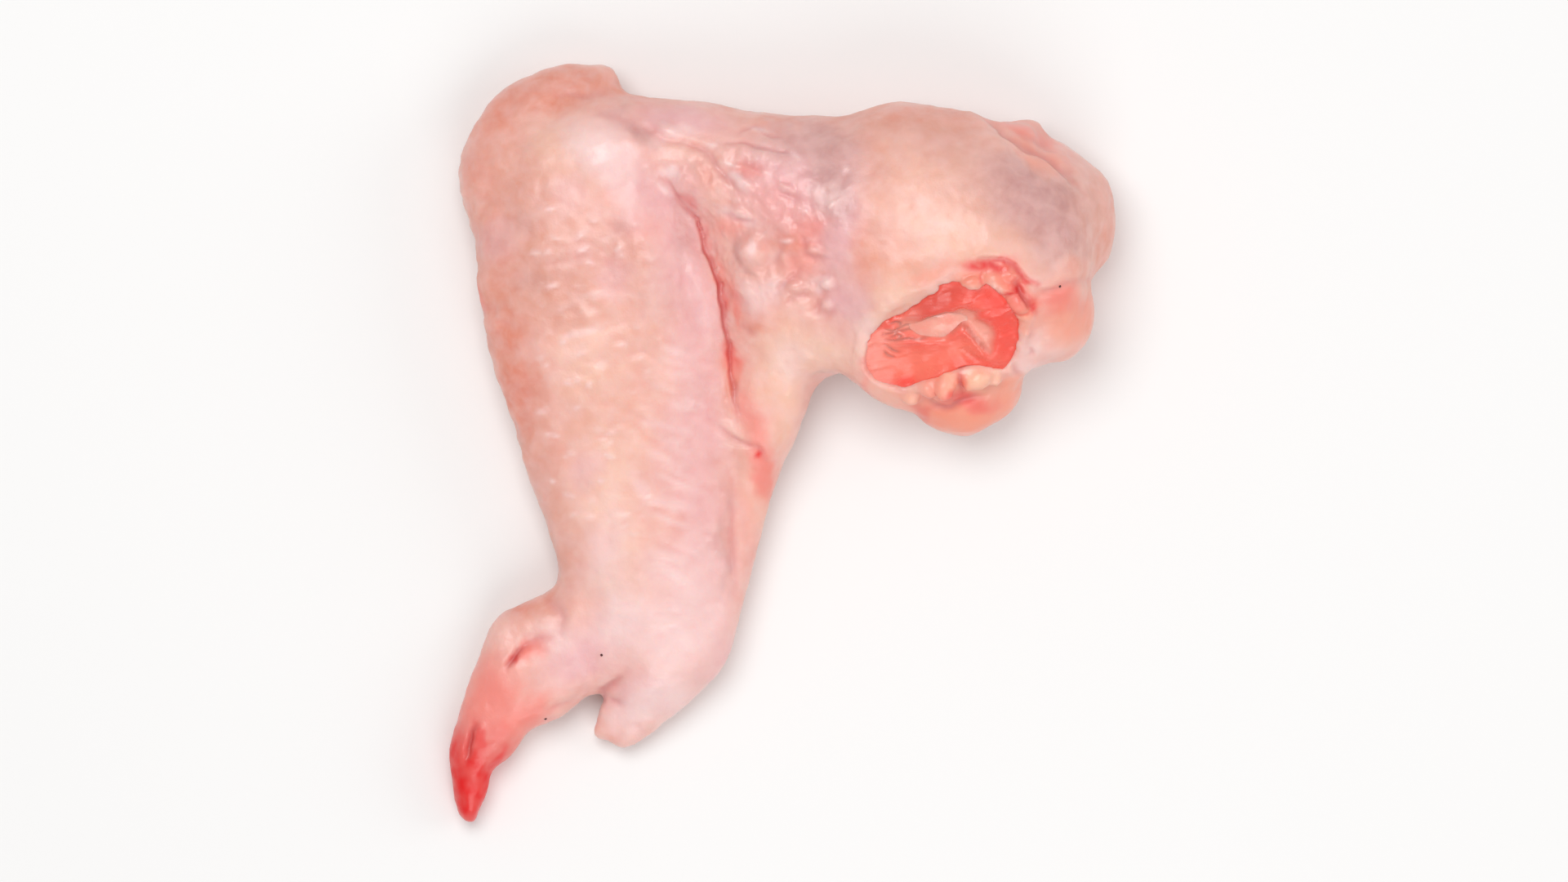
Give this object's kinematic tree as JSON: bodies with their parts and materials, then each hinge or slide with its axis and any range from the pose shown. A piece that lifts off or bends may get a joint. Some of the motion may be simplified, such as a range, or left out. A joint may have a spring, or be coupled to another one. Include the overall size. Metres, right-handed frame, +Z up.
{
  "type": "raw chicken wing",
  "caption": "Raw whole chicken wing in its skin, folded flat at the elbow, with drumette, forearm, web, tip and an open shoulder cut that shows muscle and bone.",
  "frame": {"origin": "on the surface that the wing lies on, under the middle of its box", "axes": "+Z up out of the inner side of the wing, +Y from the wrist towards the elbow, +X from the elbow towards the shoulder cut"},
  "size_m": [0.102, 0.1154, 0.0284],
  "materials": {
    "skin": "raw poultry skin, moist, pale pink to cream",
    "muscle": "raw wet muscle",
    "cartilage": "wet cartilage over bone"
  },
  "bodies": {
    "root": {"wing_skin": "skin", "drumette_muscle": "muscle", "humerus": "cartilage"}
  },
  "joints": []
}
